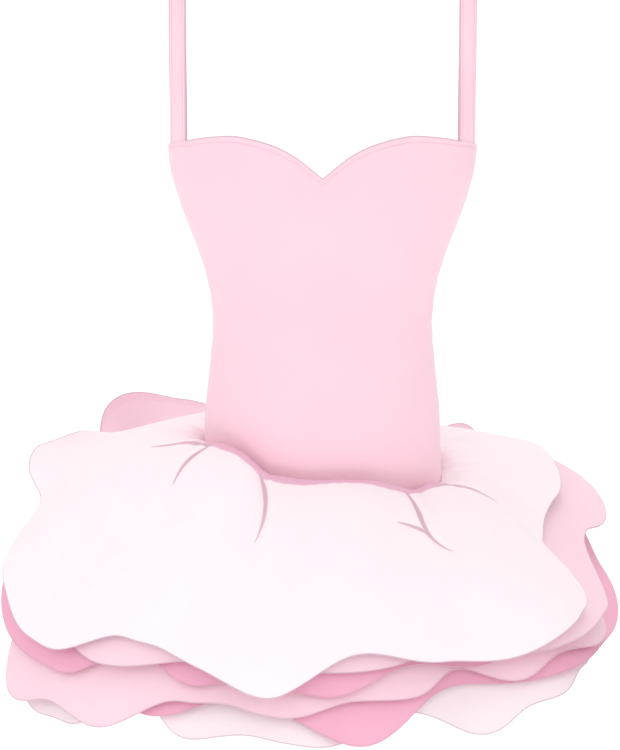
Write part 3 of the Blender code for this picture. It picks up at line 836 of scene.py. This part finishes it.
def skirt_ruffle(layer, finish, edging):
    """One ring of net with its rolled edge."""
    style = LAYERS[layer]
    first = layer == 0
    columns = RING_COLUMNS_TOP if first else RING_COLUMNS
    rows = RING_ROWS_TOP if first else RING_ROWS
    azimuth = np.arange(columns) * 360.0 / columns
    width = edge_value(style.edge, "reach", azimuth) - torso_radius(azimuth, seam_height(azimuth, layer))
    share = np.repeat((np.linspace(0, 1, rows) ** RING_ROW_POWER)[:, None], columns, 1)
    share = np.concatenate([share[:-1], 1 - HEM_BESIDE / width[None], share[-1:]])
    azimuth, radius, height, distance = layer_surface(layer, azimuth, share)
    fields = {}
    if first:
        # The troughs are real form. The crease strokes and the ring at the seam are painted shade.
        trough, drawn = crease_fields(azimuth, radius, distance)
        height = height - trough
        for number, field in enumerate(drawn):
            fields[f"crease_{number}_side"] = field["side"] * MILLI
            fields[f"crease_{number}_half"] = field["half"] * MILLI
            fields[f"crease_{number}_tone"] = field["tone"]
        inside, tone = collar_shade_fields(azimuth, distance)
        fields.update(collar_inside=inside * MILLI, collar_tone=tone)
    outer = polar(azimuth, radius, height)
    inner = outer - sheet_normals(outer, closed=True) * NET_WALL
    outer, inner = outer[::-1], inner[::-1]
    upper, lower = hem_loops(outer, inner, HEM_RADIUS_NET)
    kept = np.unique(np.append(np.arange(1, rows + 1, UNDERSIDE_STEP), rows))
    loops = upper + list(outer[1:]) + list(inner[kept][::-1]) + lower
    hems = hem_marks(len(upper), rows + len(kept), len(lower))
    order = [0] * len(upper) + list(range(1, rows + 1)) + list(kept[::-1]) + [0] * len(lower)
    fields = {key: values[::-1][order] for key, values in fields.items()}
    piece = loops_mesh(style.piece, loops, True, True, hems, (finish, edging), fields)
    wear(piece, style.slot, style.node)


def bodice_panel(name, node, start, end, finish, edging):
    """The front or the back of the bodice between the side seams, with its bound top edge."""
    azimuth = np.linspace(start, end, PANEL_COLUMNS)
    top = top_edge(azimuth)
    share = np.repeat(np.linspace(0, 1, PANEL_ROWS)[:, None], PANEL_COLUMNS, 1)
    tall = top - bodice_bottom(azimuth)
    share = np.concatenate([share[:1], HEM_BESIDE / tall[None], share[1:]])
    height = top - tall * share
    outer = torso_point(azimuth, height)
    normal = sheet_normals(outer, closed=False)
    sunk = seam_sink(azimuth, start, end) + WRINKLE_DEPTH * waist_wrinkles(azimuth, height)
    outer = outer - normal * sunk[..., None]
    inner = outer - normal * SATIN_WALL
    across = np.abs(outer[0][:, 0])
    under_strap = (across > STRAP_INNER - STRAP_BESIDE) & (across < STRAP_OUTER + STRAP_BESIDE)
    under_strap &= strap_side(azimuth)
    upper, lower = hem_loops(outer, inner, np.where(under_strap, SATIN_WALL / 2, HEM_RADIUS_SATIN))
    loops = upper + list(outer[1:]) + list(inner[1:][::-1]) + lower
    hems = hem_marks(len(upper), 2 * PANEL_ROWS, len(lower))
    piece = loops_mesh(name, loops, False, False, hems, (finish, edging), plain=under_strap)
    wear(piece, "pale_pink_satin", node)


def strap_side(azimuth):
    """True where the top edge carries a strap."""
    turn = np.abs(signed_turn(azimuth))
    carried = np.zeros(turn.shape, bool)
    for behind in (False, True):
        ends = sorted(base_azimuth(across, behind) for across in (STRAP_INNER, STRAP_OUTER))
        carried |= (turn > ends[0] - STRAP_BESIDE_TURN) & (turn < ends[1] + STRAP_BESIDE_TURN)
    return carried


def seam_sink(azimuth, start, end):
    """How far the cloth turns in at its side seams."""
    nearest = np.minimum(np.abs(azimuth - start), np.abs(azimuth - end))
    return SINK_DEPTH * (1 - smooth(0.0, SINK_WIDTH, nearest))


def waist_wrinkles(azimuth, height):
    """Slight pulls across the waist, strongest at the sides."""
    turn = np.radians(azimuth)
    near = np.exp(-((height - WRINKLE_HEIGHT) / WRINKLE_REACH) ** 2) * (0.25 + 0.75 * np.sin(turn) ** 2)
    return near * np.sin(height * WRINKLE_PITCH + waves(WRINKLE_WAVES, turn))


def strap_foot(across, behind):
    """Where a line of the strap starts, a little below the bodice's top edge, so that no groove shows."""
    azimuth = base_azimuth(across, behind)
    foot = torso_point(azimuth, top_edge(azimuth))
    return np.array([across, foot[1], foot[2] - STRAP_LAP])


def strap_line(across, share):
    """Points along one line of the left strap, from its front foot over the shoulder to its back foot."""
    feet = np.where((share > 0.5)[:, None], strap_foot(across, True), strap_foot(across, False))
    side = np.where(share > 0.5, 1.0, -1.0)
    reach = np.where(share > 0.5, ARCH_BACK, ARCH_FRONT)
    from_foot = np.where(share > 0.5, 1 - share, share)
    along = np.abs(np.cos(math.pi * share)) ** ARCH_POWER
    twist = (1 + np.cos(math.pi * np.minimum(from_foot / TWIST_LENGTH, 1.0))) / 2
    arch = SHOULDER_BACK + side * reach * along
    y = arch + (feet[:, 1] - SHOULDER_BACK - side * reach) * twist
    z = feet[:, 2] + (SHOULDER_HEIGHT - feet[:, 2]) * np.sin(math.pi * share) ** ARCH_POWER
    return np.stack([feet[:, 0], y, z], -1)


def strap_shares(count):
    """Places along a strap, closer together where it bends over the shoulder."""
    even = np.linspace(0, 1, count)
    return even + STRAP_BUNCHING * np.sin(2 * math.pi * even)


def strap(name, node, side, finish, edging):
    """A folded satin strap over one shoulder: side 1 is the wearer's left."""
    share = strap_shares(STRAP_ROWS)
    lines = [strap_line(across, share) for across in np.linspace(STRAP_INNER, STRAP_OUTER, STRAP_COLUMNS)]
    outer = np.array(lines) * np.array([side, 1.0, 1.0])
    normal = sheet_normals(outer, closed=False) * side
    crown = np.sin(math.pi * np.linspace(0, 1, STRAP_COLUMNS))[:, None, None] * STRAP_CROWN
    outer, inner = outer + normal * (crown - STRAP_SUNK), outer - normal * SATIN_WALL
    upper, lower = hem_loops(outer, inner, SATIN_WALL / 2)
    far_upper, far_lower = hem_loops(outer[::-1], inner[::-1], SATIN_WALL / 2)
    loops = upper + list(outer[1:-1]) + far_upper[::-1] + far_lower[::-1] + list(inner[1:-1][::-1]) + lower
    hems = hem_marks(len(upper), STRAP_COLUMNS - 2, 2 * len(upper), STRAP_COLUMNS - 2, len(lower))
    piece = loops_mesh(name, loops, False, side > 0, hems, (finish, edging))
    wear(piece, "pale_pink_satin", node)


def hip_band(finish, edging):
    """The tube under the skirt that carries the layers."""
    azimuth = np.arange(BAND_COLUMNS) * 360.0 / BAND_COLUMNS
    share = np.linspace(0, 1, BAND_ROWS)[:, None]
    height = BAND_BOTTOM + (bodice_bottom(azimuth) - SEAM_GAP - BAND_BOTTOM) * share
    outer = torso_point(azimuth, height)
    inner = outer + sheet_normals(outer, closed=True) * SATIN_WALL
    upper, lower = hem_loops(outer, inner, HEM_RADIUS_SATIN)
    loops = upper + list(outer[1:]) + list(inner[1:][::-1]) + lower
    hems = hem_marks(len(upper), 2 * (BAND_ROWS - 1), len(lower))
    piece = loops_mesh("hip_band_satin", loops, True, True, hems, (finish, edging))
    wear(piece, "pale_pink_satin", "hip_band")


def stitch_line(path, normals):
    """Points and faces of small stitches laid end to end along a path on the cloth."""
    steps = np.linalg.norm(np.diff(path, axis=0), axis=-1)
    lengths = np.concatenate([[0], np.cumsum(steps)])
    pitch = STITCH_LENGTH + STITCH_GAP
    points, faces = [], []
    for k in range(int(lengths[-1] / pitch)):
        ends = (k * pitch + STITCH_GAP / 2, k * pitch + STITCH_GAP / 2 + STITCH_LENGTH)
        place = [np.array([np.interp(end, lengths, path[:, axis]) for axis in range(3)]) for end in ends]
        out = np.array([np.interp(sum(ends) / 2, lengths, normals[:, axis]) for axis in range(3)])
        out /= np.linalg.norm(out)
        along = place[1] - place[0]
        side = np.cross(along / np.linalg.norm(along), out)
        base = len(points)
        for t in STITCH_RINGS:
            thick = STITCH_RADIUS * (STITCH_END if t in (0.0, 1.0) else 1.0)
            rise = STITCH_RADIUS * (STITCH_RISE * math.sin(math.pi * t) - STITCH_SUNK)
            middle = place[0] + along * t + out * rise
            for turn in range(STITCH_SIDES):
                angle = turn * 2 * math.pi / STITCH_SIDES
                points.append(middle + thick * (math.cos(angle) * side + math.sin(angle) * out))
        for ring in range(len(STITCH_RINGS) - 1):
            for turn in range(STITCH_SIDES):
                a = base + ring * STITCH_SIDES + turn
                b = base + ring * STITCH_SIDES + (turn + 1) % STITCH_SIDES
                faces.append((a, b, b + STITCH_SIDES, a + STITCH_SIDES))
        first, last = range(base, base + STITCH_SIDES), range(len(points) - STITCH_SIDES, len(points))
        faces += [tuple(first)[::-1], tuple(last)]
    return points, faces


def stitches(name, lines, finish):
    """All the stitches of one piece."""
    points, faces = [], []
    for path, normals in lines:
        more_points, more_faces = stitch_line(path, normals)
        faces += [tuple(index + len(points) for index in face) for face in more_faces]
        points += more_points
    mesh = bpy.data.meshes.new(name)
    mesh.from_pydata([tuple(point) for point in points], [], faces)
    mesh.uv_layers.new(name="cloth")
    mesh.shade_smooth()
    return wear(placed(mesh, finish), "pale_pink_satin")


def edge_stitch_line(start, end):
    """The stitching just under a panel's top edge."""
    azimuth = np.linspace(start, end, STITCH_STEPS_BODICE)
    height = top_edge(azimuth) - STITCH_INSET_BODICE
    grid = torso_point(azimuth, height + np.array([[STITCH_BESIDE], [0.0], [-STITCH_BESIDE]]))
    return grid[1], sheet_normals(grid, closed=False)[1]


def strap_stitch_lines(side):
    """The stitching along both edges of a strap."""
    share = strap_shares(STITCH_STEPS_STRAP)
    lines = []
    for across in (STRAP_INNER + STITCH_INSET_STRAP, STRAP_OUTER - STITCH_INSET_STRAP):
        grid = np.array([strap_line(across + step, share) for step in (-STITCH_BESIDE, 0.0, STITCH_BESIDE)])
        grid = grid * np.array([side, 1.0, 1.0])
        lines.append((grid[1], sheet_normals(grid, closed=False)[1] * side))
    return lines


# ---------------------------------------------------------------- stage, lights and camera

CAMERA_ELEVATION = math.radians(24)
CAMERA_DISTANCE = 12.0
MM_PER_PIXEL = 1.05
PICTURE = (620, 750)
WAIST_PIXEL = (322.5, 325.0)  # where the origin is seen
SENSOR = 36.0
FLOOR_HEIGHT, FLOOR_HALF = -1.05, 60.0
FLOOR_TONES = (0.97, 0.97, 0.97, 1), (0.95, 0.95, 0.95, 1)
FLOOR_GLOW, SURROUND = 0.10, 0.86
WHITE = (1, 1, 1, 1)

Light = namedtuple("Light", "name place size power")
LIGHTS = (
    Light("key", (-2.2, -4.2, 3.6), 2.8, 16),
    Light("fill", (3.8, -3.0, 2.2), 3.0, 18),
    Light("low", (-0.6, -4.6, -0.5), 1.6, 27),
    Light("side", (-4.6, -0.8, 1.8), 3.0, 14),
    Light("back", (0.6, 3.8, 3.4), 2.6, 32),
    Light("crown", (-0.6, 2.0, 4.6), 2.6, 14),
)


def make_camera():
    """A long lens above the front, looking down as the picture does."""
    data = bpy.data.cameras.new("camera")
    data.sensor_width = SENSOR
    tall = PICTURE[1] * MM_PER_PIXEL / 1000
    data.lens = SENSOR * CAMERA_DISTANCE / tall
    data.clip_end = 100
    back = Vector((0, -math.cos(CAMERA_ELEVATION), math.sin(CAMERA_ELEVATION)))
    up = Vector((0, math.sin(CAMERA_ELEVATION), math.cos(CAMERA_ELEVATION)))
    right = (PICTURE[0] / 2 - WAIST_PIXEL[0]) * MM_PER_PIXEL / 1000
    lower = (PICTURE[1] / 2 - WAIST_PIXEL[1]) * MM_PER_PIXEL / 1000
    camera = bpy.data.objects.new("camera", data)
    camera.location = back * CAMERA_DISTANCE + Vector((right, 0, 0)) - up * lower
    camera.rotation_euler = (-back).to_track_quat("-Z", "Y").to_euler()
    bpy.context.scene.collection.objects.link(camera)
    bpy.context.scene.camera = camera


def add_light(light):
    """A round lamp that points at the waist."""
    data = bpy.data.lights.new(light.name, "AREA")
    data.shape = "DISK"
    data.size = light.size
    data.energy = light.power
    lamp = bpy.data.objects.new(light.name, data)
    lamp.location = light.place
    lamp.rotation_euler = (-Vector(light.place)).to_track_quat("-Z", "Y").to_euler()
    bpy.context.scene.collection.objects.link(lamp)


def make_stage():
    """A pale floor far below the garment, and a soft white surround."""
    mesh = bpy.data.meshes.new("floor")
    ways = ((-1, -1), (1, -1), (1, 1), (-1, 1))
    mesh.from_pydata([(x * FLOOR_HALF, y * FLOOR_HALF, FLOOR_HEIGHT) for x, y in ways], [], [(0, 1, 2, 3)])
    shader = Shader("floor_pale", 0.9, specular=0.0)
    shader.colour(shader.mix(shader.cloud(FLOOR_CLOUD), *FLOOR_TONES))
    shader.surface.inputs["Emission Color"].default_value = WHITE
    shader.surface.inputs["Emission Strength"].default_value = FLOOR_GLOW
    floor = placed(mesh, shader.material)
    scene = bpy.context.scene
    scene.world = bpy.data.worlds.new("surround")
    scene.world.use_nodes = True
    background = scene.world.node_tree.nodes["Background"]
    background.inputs["Color"].default_value = WHITE
    background.inputs["Strength"].default_value = SURROUND
    scene.view_settings.view_transform = "Standard"
    for light in LIGHTS:
        add_light(light)


def make_tutu():
    pale = satin()
    top_net = net("net_white_creased", NET_WHITE, NET_WHITE_SHADE, creased=True)
    nets = {
        "white_net": net("net_white", NET_WHITE, NET_WHITE_SHADE),
        "light_pink_net": net("net_light_pink", NET_LIGHT, NET_LIGHT_SHADE),
        "mid_pink_net": net("net_mid_pink", NET_MID, NET_MID_SHADE),
    }
    threads = {
        "white_net": thread("thread_pale", THREAD_PALE),
        "light_pink_net": thread("thread_pink", THREAD_PINK),
        "mid_pink_net": thread("thread_mid", THREAD_MID),
    }
    for layer, style in enumerate(LAYERS):
        skirt_ruffle(layer, nets[style.slot] if layer else top_net, threads[style.slot])
    edging = threads["light_pink_net"]
    half_gap = math.degrees(SEAM_GAP / 2 / float(torso_radius(SIDE_SEAM, 0.0)))
    front, back = SIDE_SEAM - half_gap, SIDE_SEAM + half_gap
    bodice_panel("bodice_front_satin", "bodice_front", -front, front, pale, edging)
    bodice_panel("bodice_back_satin", "bodice_back", back, 360 - back, pale, edging)
    strap("strap_left_satin", "strap_left", 1, pale, edging)
    strap("strap_right_satin", "strap_right", -1, pale, edging)
    hip_band(pale, edging)
    sewing = thread("thread_sewing", THREAD_STITCH)
    front, back = SIDE_SEAM - STITCH_FROM_SEAM, SIDE_SEAM + STITCH_FROM_SEAM
    stitches("stitches_front", [edge_stitch_line(-front, front)], sewing)
    stitches("stitches_back", [edge_stitch_line(back, 360 - back)], sewing)
    stitches("stitches_strap_left", strap_stitch_lines(1), sewing)
    stitches("stitches_strap_right", strap_stitch_lines(-1), sewing)


make_camera()
make_stage()
make_tutu()

bpy.context.view_layer.update()
